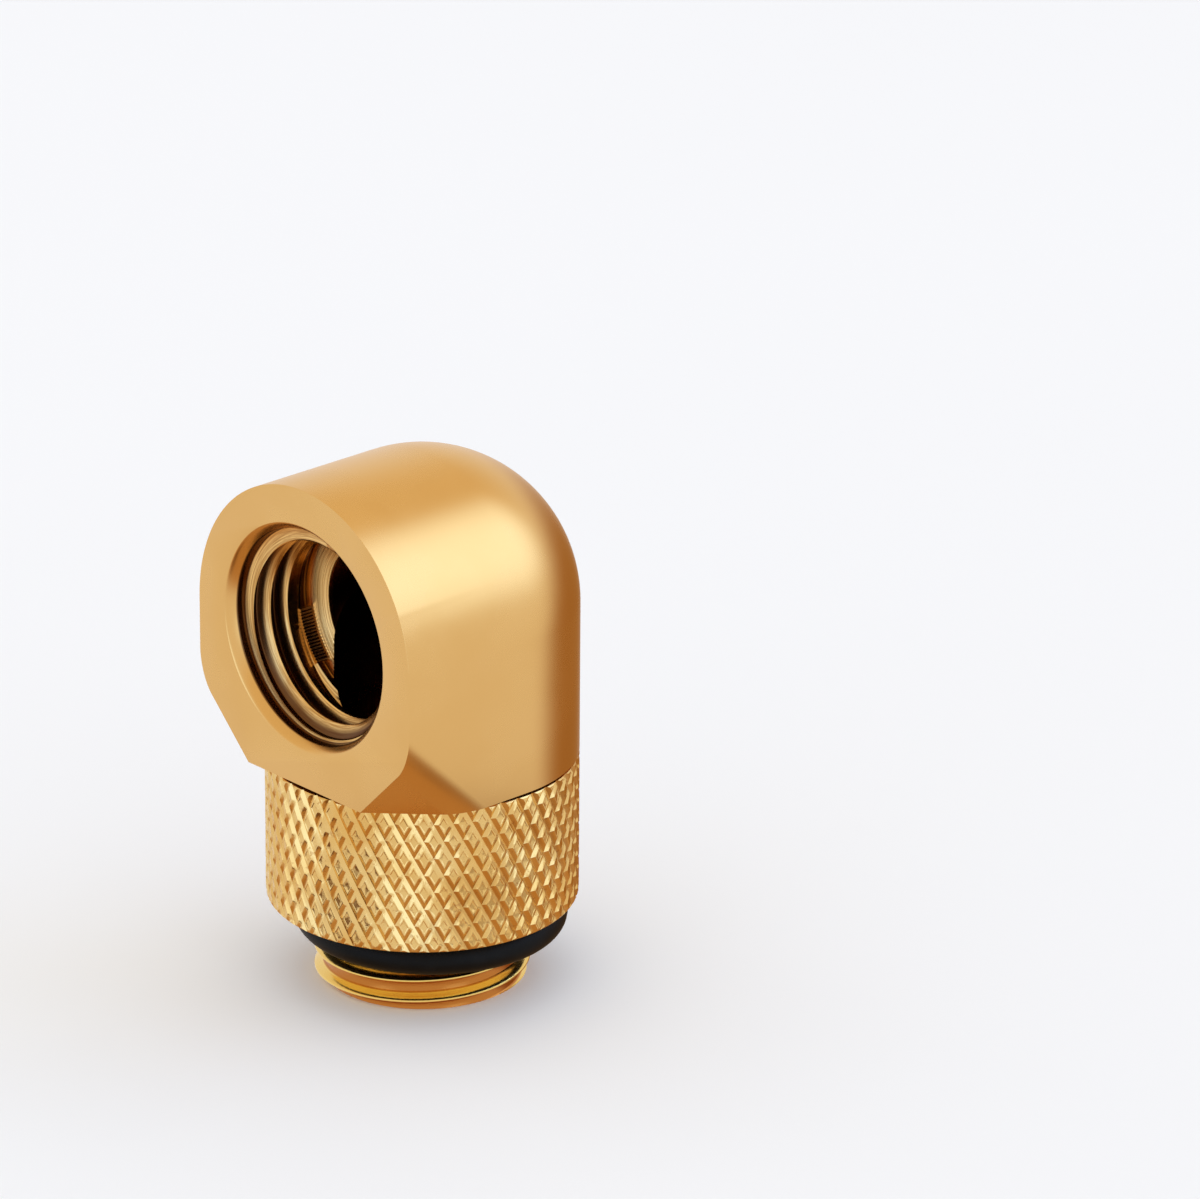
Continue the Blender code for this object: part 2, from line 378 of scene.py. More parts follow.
def knurl_cutter(material):
    """A ring whose inner side is the knurl: the lozenge repeated and wrapped round the collar."""
    below = math.ceil(2 * (KNURL_LIFT - COLLAR_FOOT_Z) / KNURL_CELL_HEIGHT) + 1
    above = math.ceil(2 * (COLLAR_TOP_Z - KNURL_LIFT) / KNURL_CELL_HEIGHT) + 1
    sizes = {
        "Lines": ("NodeSocketInt", KNURL_LINES),
        "Rows": ("NodeSocketInt", below + above + 1),
        "Rows below": ("NodeSocketInt", below),
        "Cell height": ("NodeSocketFloat", KNURL_CELL_HEIGHT),
        "Crest radius": ("NodeSocketFloat", COLLAR_R - RIM_HEIGHT),
        "Turn": ("NodeSocketFloat", KNURL_TURN),
        "Lift": ("NodeSocketFloat", KNURL_LIFT),
        "Unevenness": ("NodeSocketFloat", 0.022 * MM),
        "Wall": ("NodeSocketFloat", 0.6 * MM),
    }
    graph, size = new_shape_graph("knurl", sizes)
    index = graph.node("GeometryNodeInputIndex")[0]
    column = (index / size["Rows"]).math("FLOOR")
    row = index - column * size["Rows"] - size["Rows below"]
    total = size["Lines"] * size["Rows"]
    values = {"Count": total, "Position": graph.vector(column + row, column, 0.0)}
    spots = graph.node("GeometryNodePoints", values=values)["Points"]
    values = {"Points": spots, "Instance": size["Pattern"]}
    cells = graph.node("GeometryNodeInstanceOnPoints", values=values)["Instances"]
    cells = graph.node("GeometryNodeRealizeInstances", values={"Geometry": cells})["Geometry"]

    main, cross, height = graph.axes(graph.node("GeometryNodeInputPosition")[0])
    angle = (main + cross) * math.pi / size["Lines"] + size["Turn"]
    level = (main - cross) * size["Cell height"] / 2 + size["Lift"]
    spot = graph.vector(angle.math("COSINE"), angle.math("SINE"), level / (9.5 * MM))
    wobble = (graph.noise(spot, 21.0, 3.0) - 0.5) * size["Unevenness"]
    radius = size["Crest radius"] + height + wobble
    wrapped = graph.vector(radius * angle.math("COSINE"), radius * angle.math("SINE"), level)
    values = {"Geometry": cells, "Position": wrapped}
    inner = graph.node("GeometryNodeSetPosition", values=values)["Geometry"]
    values = {"Geometry": inner, "Distance": MERGE}
    inner = graph.node("GeometryNodeMergeByDistance", values=values)["Geometry"]

    x, y, _ = graph.axes(graph.node("GeometryNodeInputPosition")[0])
    settings = {"operation": "NORMALIZE"}
    outward = graph.node("ShaderNodeVectorMath", settings, {0: graph.vector(x, y, 0.0)})["Vector"]
    flipped = graph.node("GeometryNodeFlipFaces", values={"Mesh": inner})["Mesh"]
    values = {"Mesh": flipped, "Offset": outward, "Offset Scale": size["Wall"], "Individual": False}
    outer = graph.node("GeometryNodeExtrudeMesh", {"mode": "FACES"}, values)["Mesh"]
    both = graph.node("GeometryNodeJoinGeometry")
    graph.tree.links.new(outer.socket, both.node.inputs[0])
    graph.tree.links.new(inner.socket, both.node.inputs[0])
    values = {"Geometry": both[0], "Distance": MERGE}
    ring = graph.node("GeometryNodeMergeByDistance", values=values)["Geometry"]
    end_shape_graph(graph, ring, material)
    return shape_by(lozenge_pattern(), graph, sizes)


# --- Thread ------------------------------------------------------------------------------------


def thread_bar(turns, into, mouth, depth, steps=96):
    """A straight bar with the outline of a thread groove: x counts turns, y is across, z outwards.

    mouth is half the groove's width at the crest, where the bar flares. into is 1 for a groove
    cut inwards from the crest radius and -1 for one cut outwards into the wall of a hole.
    """
    slope = math.tan(THREAD_FLANK)
    side = [
        (mouth + 0.075 * MM, -0.06 * MM),
        (mouth + 0.035 * MM, 0.0),
        (mouth, 0.03 * MM),
        (mouth - slope * depth * 0.3, depth * 0.3),
        (mouth - slope * depth * 0.6, depth * 0.6),
        (mouth - slope * (depth - 0.1 * MM), depth - 0.1 * MM),
        (mouth - slope * depth - 0.02 * MM, depth - 0.03 * MM),
        (0.03 * MM, depth),
    ]
    outline = side + [(-width, level) for width, level in reversed(side)]
    count = len(outline)
    length = round(turns * steps)
    points = [
        (step / steps, across, -into * level)
        for step in range(length + 1)
        for across, level in outline
    ]
    faces = [tuple(range(count)), tuple(range(length * count, length * count + count))]
    for step in range(length):
        for k in range(count):
            after = (k + 1) % count
            here = step * count
            faces.append((here + k, here + after, here + count + after, here + count + k))
    return new_solid("thread_groove", points, faces)


def coil_graph(material):
    """Winds a straight bar into a right-handed helix that may rise out of its groove at the end."""
    sizes = {
        "Radius": ("NodeSocketFloat", 0.0),
        "Pitch": ("NodeSocketFloat", 0.0),
        "Start": ("NodeSocketFloat", 0.0),
        "Turn": ("NodeSocketFloat", 0.0),
        "Run-out start": ("NodeSocketFloat", 0.0),
        "Run-out": ("NodeSocketFloat", 0.0),
    }
    graph, size = new_shape_graph("thread", sizes)
    turns, across, outwards = graph.axes(graph.node("GeometryNodeInputPosition")[0])
    angle = turns * (2 * math.pi) + size["Turn"]
    values = {
        "Value": turns,
        "From Min": size["Run-out start"],
        "From Max": size["Run-out start"] - RUN_OUT_TURNS,
        "To Min": 0.0,
        "To Max": 1.0,
    }
    lift = graph.node("ShaderNodeMapRange", {"interpolation_type": "SMOOTHSTEP"}, values)["Result"]
    radius = size["Radius"] + outwards + lift * size["Run-out"]
    level = size["Start"] + turns * size["Pitch"] + across
    wound = graph.vector(radius * angle.math("COSINE"), radius * angle.math("SINE"), level)
    values = {"Geometry": size["Pattern"], "Position": wound}
    helix = graph.node("GeometryNodeSetPosition", values=values)["Geometry"]
    end_shape_graph(graph, helix, material)
    return graph


def thread_cutter(graph, bar, radius, start, turn, run_out=0.0):
    sizes = {
        "Radius": (None, radius),
        "Pitch": (None, THREAD_PITCH),
        "Start": (None, start),
        "Turn": (None, turn),
        "Run-out start": (None, RUN_OUT_TURNS),
        "Run-out": (None, run_out),
    }
    cutter = shape_by(bar, graph, sizes)
    bm = bmesh.new()
    bm.from_mesh(cutter.data)
    bmesh.ops.recalc_face_normals(bm, faces=bm.faces)
    bm.to_mesh(cutter.data)
    bm.free()
    return cutter


# --- Pieces ------------------------------------------------------------------------------------


def finish_piece(obj, name, material, body, replaced, sharp=30):
    obj.name = name
    obj.data.name = name
    obj.data.materials.clear()
    obj.data.materials.append(material)
    obj.data.shade_smooth()
    obj.data.set_sharp_from_angle(angle=math.radians(sharp))
    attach(obj, body)
    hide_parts(replaced)
    return obj


def groove(top, foot, mouth_r, floor_r):
    """Four profile points, running down, of a square groove."""
    return [
        (mouth_r, top + FIT_GAP),
        (floor_r, top + FIT_GAP),
        (floor_r, foot - FIT_GAP),
        (mouth_r, foot - FIT_GAP),
    ]


def make_base(material, coil):
    """Collar, neck and male thread, turned from one bar, then threaded and knurled."""
    recess_r = SOCKET_R + 1.2 * MM
    recess_floor = BODY_FOOT_Z - 0.7 * MM
    neck_r = 5.6 * MM
    thread_top = 3.1 * MM
    lead = 0.45 * MM
    profile = [(recess_r + 0.08 * MM, COLLAR_TOP_Z)]
    profile += arc((COLLAR_R - 0.2 * MM, COLLAR_TOP_Z - 0.2 * MM), (0.2 * MM, 0.2 * MM), 90, 0, 3)
    profile += arc((COLLAR_R - 0.4 * MM, COLLAR_FOOT_Z + 0.4 * MM), (0.4 * MM, 0.4 * MM), 0, -90, 4)
    profile += [
        (neck_r + 0.1 * MM, COLLAR_FOOT_Z),
        (neck_r, COLLAR_FOOT_Z - 0.1 * MM),
        (neck_r, thread_top + lead),
        (THREAD_MAJOR_R, thread_top - lead),
        (THREAD_MAJOR_R, 0.15 * MM),
        (THREAD_MAJOR_R - 0.13 * MM, 0.02 * MM),
        (THREAD_MAJOR_R - 0.18 * MM, 0.0),
        (4.4 * MM, 0.0),
        (4.3 * MM, 0.1 * MM),
        (4.3 * MM, 6.4 * MM),
        (4.4 * MM, 6.5 * MM),
        (SOCKET_R, 6.5 * MM),
    ]
    profile += reversed(groove(RING_TOP_Z, RING_FOOT_Z, SOCKET_R, SOCKET_R + 0.55 * MM))
    profile += [
        (SOCKET_R, recess_floor),
        (recess_r, recess_floor),
        (recess_r, COLLAR_TOP_Z - 0.08 * MM),
    ]
    base = turned("threaded_base", profile)
    combine(base, knurl_cutter(material))
    bar = thread_bar(MALE_TURNS, 1, *MALE_GROOVE)
    combine(base, thread_cutter(coil, bar, THREAD_MAJOR_R, MALE_START, MALE_TURN))
    return base


def body_blank():
    """The body before it is drilled.

    It is a block whose top, back and upper back edges are rounded by half its width. Its two lower
    front corners are cut off, and every other edge is softened.
    """
    bm = bmesh.new()
    bmesh.ops.create_cube(bm, size=1.0)
    depth = PORT_REACH + BODY_R
    height = elbow_high.z - BODY_FOOT_Z
    bmesh.ops.scale(bm, vec=(2 * BODY_R, depth, height), verts=bm.verts)
    middle = Vector((0, BODY_R - depth / 2, BODY_R - height / 2))
    bmesh.ops.translate(bm, vec=middle, verts=bm.verts)

    def is_rounded(edge):
        a, b = (vert.co for vert in edge.verts)
        on_top = a.z > 0 and b.z > 0
        at_back = a.y > 0 and b.y > 0
        along_port = abs(a.y - b.y) > MERGE
        upright = abs(a.z - b.z) > MERGE
        return (on_top and along_port) or (at_back and upright) or (on_top and at_back)

    bmesh.ops.bevel(
        bm,
        geom=[edge for edge in bm.edges if is_rounded(edge)],
        offset=BODY_R,
        offset_type="OFFSET",
        segments=40,
        profile=0.5,
        affect="EDGES",
        clamp_overlap=False,
    )
    bmesh.ops.remove_doubles(bm, verts=bm.verts, dist=10 * MERGE)
    bmesh.ops.translate(bm, vec=(0, 0, PORT_AXIS_Z), verts=bm.verts)
    for side in (1, -1):
        outward = Vector((side, -1, -1)).normalized()
        corner = Vector((side * BODY_R, -PORT_REACH, BODY_FOOT_Z))
        cut = bmesh.ops.bisect_plane(
            bm,
            geom=bm.verts[:] + bm.edges[:] + bm.faces[:],
            plane_co=corner - outward * CORNER_CUT / math.sqrt(3),
            plane_no=outward,
            clear_outer=True,
            dist=MERGE,
        )
        rim = [e for e in cut["geom_cut"] if isinstance(e, bmesh.types.BMEdge)]
        bmesh.ops.contextual_create(bm, geom=rim)
    bmesh.ops.recalc_face_normals(bm, faces=bm.faces)

    def meets_side(edge):
        if len(edge.link_faces) < 2:
            return False
        normals = [face.normal for face in edge.link_faces]
        cut_off = any(n.z < -0.3 and abs(n.x) > 0.3 for n in normals)
        return cut_off and any(abs(n.x) > 0.95 for n in normals)

    bmesh.ops.bevel(
        bm,
        geom=[edge for edge in bm.edges if meets_side(edge)],
        offset=1.2 * MM,
        offset_type="OFFSET",
        segments=9,
        profile=0.5,
        affect="EDGES",
        clamp_overlap=False,
    )
    bmesh.ops.recalc_face_normals(bm, faces=bm.faces)

    soft = bm.edges.layers.float.new("bevel_weight_edge")
    for edge in bm.edges:
        if len(edge.link_faces) < 2 or edge.calc_face_angle() < math.radians(20):
            continue
        normals = [face.normal for face in edge.link_faces]
        upright = any(abs(n.x) > 0.9 for n in normals) and any(n.y < -0.9 for n in normals)
        edge[soft] = 1.0 if upright else 0.44
    mesh = bpy.data.meshes.new("elbow_body")
    bm.to_mesh(mesh)
    bm.free()
    blank = new_object("elbow_body", mesh)
    bevel = blank.modifiers.new("soft edges", "BEVEL")
    bevel.limit_method = "WEIGHT"
    bevel.width = 0.25 * MM
    bevel.segments = 6
    bevel.use_clamp_overlap = True
    return settle(blank)


def make_spigot():
    profile = [(0, BODY_FOOT_Z + 1 * MM), (SPIGOT_R, BODY_FOOT_Z + 1 * MM)]
    profile += groove(RING_TOP_Z, RING_FOOT_Z, SPIGOT_R, SPIGOT_R - 0.65 * MM)
    for top in SPIGOT_SEAL_TOPS.values():
        profile += groove(top, top - 1 * MM, SPIGOT_R, SOCKET_R - 1.1 * MM)
    profile += [
        (SPIGOT_R, SPIGOT_END_Z + 0.3 * MM),
        (SPIGOT_R - 0.3 * MM, SPIGOT_END_Z),
        (0, SPIGOT_END_Z),
    ]
    return turned("spigot", profile)


def port_cutter():
    """The female port and the bore behind it, along +Z out of the port, with its turning marks."""
    undercut = PORT_DEPTH - UNDERCUT_LENGTH
    profile = [(0, 2 * MM), (LIP_R + 1.0 * MM, 2 * MM), (LIP_R + 0.1 * MM, 0.004 * MM)]
    for step in range(13):
        share = step / 12
        profile.append((LIP_R - (LIP_R - MOUTH_R) * share, -LIP_DEPTH * share**1.5))
    profile += [
        (MOUTH_R - 0.02 * MM, -LIP_DEPTH - 0.04 * MM),
        (MOUTH_R - 0.03 * MM, -MOUTH_END),
        (MOUTH_R - 0.08 * MM, -MOUTH_END - 0.03 * MM),
        (THREAD_MINOR_R + 0.1 * MM, -MOUTH_END - 0.12 * MM),
        (THREAD_MINOR_R, -MOUTH_END - 0.2 * MM),
        (THREAD_MINOR_R, -3.9 * MM),
        (THREAD_MINOR_R - 0.2 * MM, -undercut),
        (UNDERCUT_R, -undercut - 0.1 * MM),
        (UNDERCUT_R, -PORT_DEPTH),
    ]
    spacing = (UNDERCUT_R - PORT_BORE_R) / END_WALL_MARKS
    lean = math.tan(END_WALL_LEAN)
    for mark in range(END_WALL_MARKS):
        r = UNDERCUT_R - spacing * mark
        floor = -PORT_DEPTH - spacing * (mark + 0.5) * lean
        profile += [(r - spacing * 0.35, floor + 0.018 * MM), (r - spacing * 0.9, floor)]
    bore_end = -PORT_REACH - BORE_PAST_AXIS
    profile += [
        (PORT_BORE_R, -PORT_DEPTH - END_WALL_DROP),
        (PORT_BORE_R, bore_end),
        (0, bore_end - PORT_BORE_R * math.tan(DRILL_POINT)),
    ]
    return turned("port_cutter", profile)


def chatter_pad():
    """A patch of the port's wall scored by a chattering cutter: ridges that run along the port."""
    outline = [(6.3 * MM, PAD_END), (6.3 * MM, PAD_START), (5.5 * MM, PAD_START)]
    for ridge in range(PAD_RIDGES):
        angle = PAD_START + (PAD_END - PAD_START) * (ridge + 0.2) / PAD_RIDGES
        outline += [
            (PAD_CREST_R, angle + 0.3),
            (5.47 * MM, angle + 1.1),
            (PAD_VALLEY_R, angle + 1.6),
        ]
    flat = [(r * math.cos(math.radians(t)), r * math.sin(math.radians(t))) for r, t in outline]
    ends = (-PORT_REACH + PAD_FRONT, -PORT_REACH + PORT_DEPTH + 0.5 * MM)
    points = [(x, y, PORT_AXIS_Z + z) for y in ends for x, z in flat]
    count = len(flat)
    faces = [tuple(range(count)), tuple(range(count, 2 * count))]
    faces += [(k, (k + 1) % count, (k + 1) % count + count, k + count) for k in range(count)]
    return new_solid("chatter_pad", points, faces)


def make_elbow(coil):
    body = body_blank()
    combine(body, make_spigot(), "UNION")
    face_middle = Matrix.Translation((0, -PORT_REACH, PORT_AXIS_Z))
    into_port = face_middle @ Matrix.Rotation(math.pi / 2, 4, "X")
    combine(body, place(port_cutter(), into_port))
    dome = arc((0, PORT_AXIS_Z - BORE_DOME_DROP), (SPIGOT_BORE_R, SPIGOT_BORE_R), 90, 0, 24)
    bore = [(0, dome[0][1])] + dome[1:]
    bore += [
        (SPIGOT_BORE_R + 0.01 * MM, SPIGOT_END_Z + 0.25 * MM),
        (SPIGOT_BORE_R + 0.35 * MM, SPIGOT_END_Z - 0.1 * MM),
        (SPIGOT_BORE_R + 0.35 * MM, SPIGOT_END_Z - 2 * MM),
        (0, SPIGOT_END_Z - 2 * MM),
    ]
    combine(body, turned("spigot_bore", bore))
    bar = thread_bar(FEMALE_TURNS, -1, *FEMALE_GROOVE)
    helix = thread_cutter(coil, bar, THREAD_MINOR_R, FEMALE_START, FEMALE_TURN, FEMALE_RUN_OUT)
    combine(body, place(helix, into_port))
    combine(body, chatter_pad(), "UNION")
    return body


def make_seal(name, outer_r, section, top, offset=(0, 0), tilt=0.0, flash=0.0):
    """A seal ring with the faint parting line of its mould round its inner and outer side."""
    middle = (outer_r - section / 2, top - section / 2)
    profile = []
    for step in range(40):
        angle = 2 * math.pi * step / 40
        swell = flash if step in (0, 20) else 0.0
        reach = section / 2 + swell
        profile.append((middle[0] + reach * math.cos(angle), middle[1] + reach * math.sin(angle)))
    seal = turned(name, profile, 160)
    pivot = Matrix.Translation((0, 0, middle[1]))
    hinge = Vector((-offset[1], offset[0], 0.001))
    lean = pivot @ Matrix.Rotation(tilt, 4, hinge) @ pivot.inverted()
    return place(seal, Matrix.Translation((offset[0], offset[1], 0)) @ lean)


def make_retaining_ring():
    """A split ring of flat wire with rounded edges."""
    outer, inner = SOCKET_R + 0.5 * MM, SPIGOT_R - 0.6 * MM
    edge = 0.12 * MM
    profile = []
    for r, z, start in (
        (outer - edge, RING_TOP_Z - edge, 90),
        (outer - edge, RING_FOOT_Z + edge, 0),
        (inner + edge, RING_FOOT_Z + edge, -90),
        (inner + edge, RING_TOP_Z - edge, -180),
    ):
        profile += arc((r, z), (edge, edge), start, start - 90, 3)
    ring = turned("retaining_ring", profile, 144)
    gap = [
        (x * 0.7 * MM, y, z)
        for x in (-1, 1)
        for y in (0.0, 10 * MM)
        for z in (RING_FOOT_Z - 1 * MM, RING_TOP_Z + 1 * MM)
    ]
    faces = [(0, 1, 3, 2), (4, 5, 7, 6), (0, 1, 5, 4), (2, 3, 7, 6), (0, 2, 6, 4), (1, 3, 7, 5)]
    return combine(ring, new_solid("ring_gap", gap, faces))


def make_thrust_washer():
    inner, outer = SOCKET_R + FIT_GAP, SOCKET_R + 1.15 * MM
    top = BODY_FOOT_Z - FIT_GAP
    foot = top - 0.6 * MM
    edge = 0.06 * MM
    profile = [
        (inner + edge, top),
        (outer - edge, top),
        (outer, top - edge),
        (outer, foot + edge),
        (outer - edge, foot),
        (inner + edge, foot),
        (inner, foot + edge),
        (inner, top - edge),
    ]
    return turned("thrust_washer", profile, 144)


# --- Finishes ----------------------------------------------------------------------------------


def new_finish(name, settings):
    material = bpy.data.materials.new(name)
    material.use_nodes = True
    tree = material.node_tree
    tree.nodes.clear()
    graph = Graph(tree)
    shader = graph.node("ShaderNodeBsdfPrincipled", values=settings)
    graph.node("ShaderNodeOutputMaterial", values={"Surface": shader["BSDF"]})
    return material, graph, shader.node


def feed(graph, shader, **inputs):
    for name, signal in inputs.items():
        graph.tree.links.new(signal.socket, shader.inputs[name.replace("_", " ")])


def bump(graph, height, distance, strength):
    values = {"Strength": strength, "Distance": distance, "Height": height}
    return graph.node("ShaderNodeBump", values=values)["Normal"]


def object_place(graph):
    return graph.node("ShaderNodeTexCoord")["Object"]


def satin_gold():
    """Fine satin plating outside the body, cut metal with painted shade and highlights inside its
    port and bore.
    """
    material, graph, shader = new_finish("satin gold plate", {"Metallic": 1.0})
    place_on = object_place(graph)
    x, y, z = graph.axes(place_on)
    from_axis = z - PORT_AXIS_Z
    radius = (x * x + from_axis * from_axis).math("SQRT")
    depth = y + PORT_REACH

    # Everything inside the lip, then the wall of the mouth and the flanks of the thread, both given
    # painted shade
    inside = radius.step(6.8 * MM, 6.7 * MM) * depth.step(0.5 * MM, 0.6 * MM)
    inside = inside * y.step(6.5 * MM, 6.2 * MM)
    mouth = radius.step(6.6 * MM, 6.66 * MM) * inside
    flank = radius.step(5.78 * MM, 6.3 * MM) * depth.step(1.42 * MM, 1.5 * MM) * inside
    flank = flank * depth.step(4.3 * MM, 4.2 * MM)

    # The relief behind the thread, given painted shade, and the scored pad, with painted highlights
    # on its crests and painted shade in its valleys
    relief = radius.step(5.8 * MM, 5.9 * MM) * depth.step(4.5 * MM, 4.6 * MM) * inside
    relief = relief * depth.step(5.28 * MM, 5.2 * MM)
    scored = depth.step(4.44 * MM, 4.47 * MM) * radius.step(5.44 * MM, 5.45 * MM)
    scored = scored * radius.step(5.64 * MM, 5.62 * MM)
    scored = scored * depth.step(5.42 * MM, 5.36 * MM) * inside
    valley = radius.step(5.475 * MM, 5.55 * MM)

    # The two bores, given painted shade, darker the further in
    from_swivel = (x * x + y * y).math("SQRT")
    in_bore = (depth.step(5.95 * MM, 6.05 * MM) + z.step(18.0 * MM, 17.6 * MM)).math("MINIMUM", 1.0)
    in_bore = in_bore * from_swivel.step(5.5 * MM, 5.4 * MM) * z.step(28.5 * MM, 28.0 * MM)
    below = (in_bore * 0.9 + depth.step(6.0 * MM, 8.5 * MM) * inside).math("MINIMUM", 1.0)

    cloud = graph.noise(place_on, 140.0, 3.0)
    grain = graph.noise(place_on, 5200.0, 2.0, 0.6)
    tooth = graph.noise(place_on, 1300.0, 3.0, 0.65)
    turned_marks = graph.noise(graph.vector(radius * 14.0, depth * 14.0, x * 0.6), 900.0, 3.0, 0.6)
    drawn_marks = graph.noise(graph.vector(x * 9.0, y * 9.0, z * 0.5), 900.0, 2.0, 0.6)
    tone = graph.mix(cloud.step(0.35, 0.65), (0.80, 0.49, 0.17, 1), (0.83, 0.52, 0.19, 1))
    streaks = graph.mix(turned_marks.step(0.3, 0.7), (0.50, 0.26, 0.07, 1), (0.92, 0.61, 0.24, 1))
    tone = graph.mix(inside, tone, streaks)
    # Painted shade on the mouth's wall, the thread's flanks and the relief behind the thread
    painted_port_shade = (mouth + flank + relief * 0.8).math("MINIMUM", 1.0)
    dark = graph.mix(drawn_marks.step(0.35, 0.7), (0.05, 0.018, 0.006, 1), (0.16, 0.06, 0.022, 1))
    tone = graph.mix(painted_port_shade * 0.93, tone, (0.10, 0.035, 0.012, 1))
    # Painted highlights on the scored pad's crests, painted shade in its valleys
    painted_ridge_light_and_shade = graph.mix(valley, (1.0, 0.78, 0.52, 1), (0.10, 0.04, 0.015, 1))
    tone = graph.mix(scored, tone, painted_ridge_light_and_shade)
    # Painted shade in the bores, deepening further in
    tone = graph.mix(below, tone, dark)
    rough = 0.27 + (cloud - 0.5) * 0.08 + (grain - 0.5) * 0.02 - inside * 0.05
    height = (grain * 0.35 + tooth * 0.65) * (1.0 - inside) + turned_marks * inside * 1.5
    normal = bump(graph, height, 0.002 * MM, 0.09)
    feed(graph, shader, Base_Color=tone, Roughness=rough, Normal=normal)
    return material


def polished_gold():
    """Bright plating over knurled and threaded metal, with the fine drag marks of the tools."""
    material, graph, shader = new_finish("polished gold plate", {"Metallic": 1.0})
    place_on = object_place(graph)
    x, y, z = graph.axes(place_on)
    radius = (x * x + y * y).math("SQRT")
    knurled = radius.step(8.9 * MM, 9.1 * MM)
    threaded = radius.step(5.7 * MM, 5.8 * MM) * z.step(4.0 * MM, 3.8 * MM)
    painted_root_shade = radius.step(6.12 * MM, 6.02 * MM) * threaded
    cloud = graph.noise(place_on, 260.0, 3.0)
    drag = graph.noise(graph.vector(x, y, z * 4.0), 1500.0, 3.0, 0.6)
    pits = graph.noise(place_on, 2600.0, 2.0, 0.6).step(0.62, 0.72)
    patches = graph.noise(place_on, 210.0, 2.0).step(0.48, 0.66)
    painted_knurl_floor_shade = radius.step(9.46 * MM, 9.40 * MM) * knurled
    tone = graph.mix(cloud.step(0.35, 0.65), (0.80, 0.50, 0.155, 1), (0.86, 0.60, 0.23, 1))
    tone = graph.mix(pits * knurled * 0.5, tone, (0.5, 0.24, 0.07, 1))
    # Painted shade: darker brown patches on the knurl's groove floors
    tone = graph.mix(painted_knurl_floor_shade * patches * 0.3, tone, (0.36, 0.15, 0.03, 1))
    # Painted reflections: the thread a brighter yellow, its roots dark brown
    tone = graph.mix(threaded, tone, (0.88, 0.62, 0.19, 1))
    tone = graph.mix(painted_root_shade, tone, (0.52, 0.19, 0.035, 1))
    rough = 0.17 + (cloud - 0.5) * 0.08 + (drag - 0.5) * 0.1
    height = drag - pits * 0.5
    normal = bump(graph, height, 0.012 * MM, 0.5)
    feed(graph, shader, Base_Color=tone, Roughness=rough, Normal=normal)
    return material


def black_rubber():
    material, graph, shader = new_finish("black rubber", {"Specular IOR Level": 0.13})
    place_on = object_place(graph)
    bloom = graph.noise(place_on, 420.0, 4.0, 0.6)
    grain = graph.noise(place_on, 5200.0, 2.0, 0.6)
    tone = graph.mix(bloom.step(0.4, 0.75), (0.0025, 0.0025, 0.0024, 1), (0.006, 0.006, 0.0058, 1))
    rough = 0.5 + (bloom - 0.5) * 0.2
    normal = bump(graph, grain, 0.006 * MM, 0.5)
    feed(graph, shader, Base_Color=tone, Roughness=rough, Normal=normal)
    return material


def spring_steel():
    material, graph, shader = new_finish("spring steel", {"Metallic": 1.0})
    place_on = object_place(graph)
    x, y, z = graph.axes(place_on)
    radius = (x * x + y * y).math("SQRT")
    drawn = graph.noise(graph.vector(radius * 40.0, z * 40.0, x * 2.0), 300.0, 3.0, 0.6)
    tone = graph.mix(drawn, (0.46, 0.46, 0.47, 1), (0.6, 0.6, 0.61, 1))
    rough = 0.3 + (drawn - 0.5) * 0.15
    normal = bump(graph, drawn, 0.004 * MM, 0.5)
    feed(graph, shader, Base_Color=tone, Roughness=rough, Normal=normal)
    return material


def natural_acetal():
    material, graph, shader = new_finish("natural acetal", {"Specular IOR Level": 0.5})
    place_on = object_place(graph)
    cloud = graph.noise(place_on, 600.0, 3.0)
    tone = graph.mix(cloud, (0.78, 0.77, 0.72, 1), (0.86, 0.85, 0.81, 1))
    rough = 0.42 + (cloud - 0.5) * 0.15
    normal = bump(graph, cloud, 0.01 * MM, 0.4)
    feed(graph, shader, Base_Color=tone, Roughness=rough, Normal=normal)
    return material


def floor_finish():
    settings = {"Roughness": 0.85, "Specular IOR Level": 0.2}
    material, graph, shader = new_finish("pale floor", settings)
    cloud = graph.noise(object_place(graph), 9.0, 2.0)
    feed(graph, shader, Base_Color=graph.mix(cloud, (0.88, 0.88, 0.88, 1), (0.9, 0.9, 0.9, 1)))
    return material


# --- Studio ------------------------------------------------------------------------------------


def add_floor():
    bm = bmesh.new()
    bmesh.ops.create_circle(bm, cap_ends=True, segments=96, radius=3.0)
    mesh = bpy.data.meshes.new("floor")
    bm.to_mesh(mesh)
    bm.free()
    mesh.transform(Matrix.Translation((0, 0, -0.02 * MM)))
    mesh.materials.append(floor_finish())
    floor = new_object("floor", mesh)
    floor.visible_glossy = False


